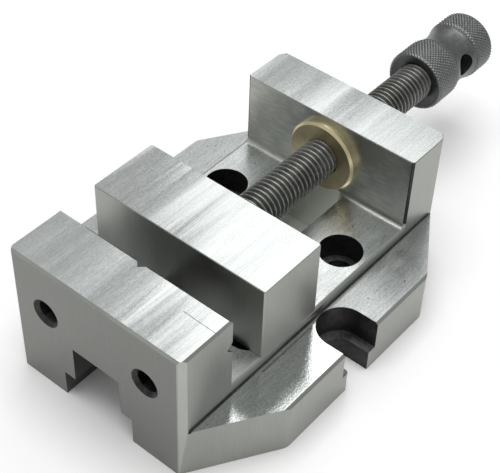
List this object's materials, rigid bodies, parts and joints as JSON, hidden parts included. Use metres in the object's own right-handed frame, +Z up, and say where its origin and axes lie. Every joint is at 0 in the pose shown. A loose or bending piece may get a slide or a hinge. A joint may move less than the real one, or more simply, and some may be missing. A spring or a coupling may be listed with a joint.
{
  "type": "machine vise",
  "caption": "Low ground-steel screw vise: one-piece base with fixed jaw and side lugs, sliding jaw, lead screw in a flanged nut, and a knurled knob.",
  "frame": {"origin": "on the underside, at the centre of the four bed bolt holes", "axes": "+X along the screw from the fixed jaw to the knob, +Y across the jaws, +Z up"},
  "size_m": [0.1731, 0.089, 0.045],
  "materials": {
    "ground_steel": "ground, with fine lengthwise grinding marks",
    "plain_steel": "machined",
    "black_oxide_steel": "black oxide, satin",
    "brass": "turned",
    "hardened_steel": "polished"
  },
  "bodies": {
    "base": {"body": "ground_steel", "screw_nut": "brass", "nut_set_screw": "black_oxide_steel", "nut_pad": "brass"},
    "jaw": {"moving_jaw": "ground_steel", "keeper_plate": "plain_steel", "keeper_screw_1": "black_oxide_steel", "keeper_screw_2": "black_oxide_steel", "keeper_screw_3": "black_oxide_steel", "keeper_screw_4": "black_oxide_steel", "keeper_washer_1": "plain_steel", "keeper_washer_2": "plain_steel", "keeper_washer_3": "plain_steel", "keeper_washer_4": "plain_steel", "thrust_ball": "hardened_steel", "screw_pin_left": "hardened_steel", "screw_pin_right": "hardened_steel"},
    "screw": {"lead_screw": "black_oxide_steel", "knob": "black_oxide_steel", "knob_set_screw": "black_oxide_steel"}
  },
  "joints": [
    {"name": "jaw_slide", "type": "slide", "parent": "base", "child": "jaw", "axis": [1, 0, 0], "range_m": [-0.0122, 0.0392]},
    {"name": "screw_spin", "type": "hinge", "parent": "jaw", "child": "screw", "pos_m": [0, 0, 0.0317], "axis": [1, 0, 0], "range_deg": [-2510, 8065]}
  ],
  "couplings": [
    {"joint": "screw_spin", "follows": "jaw_slide", "rad_per_m": 3590.4}
  ]
}
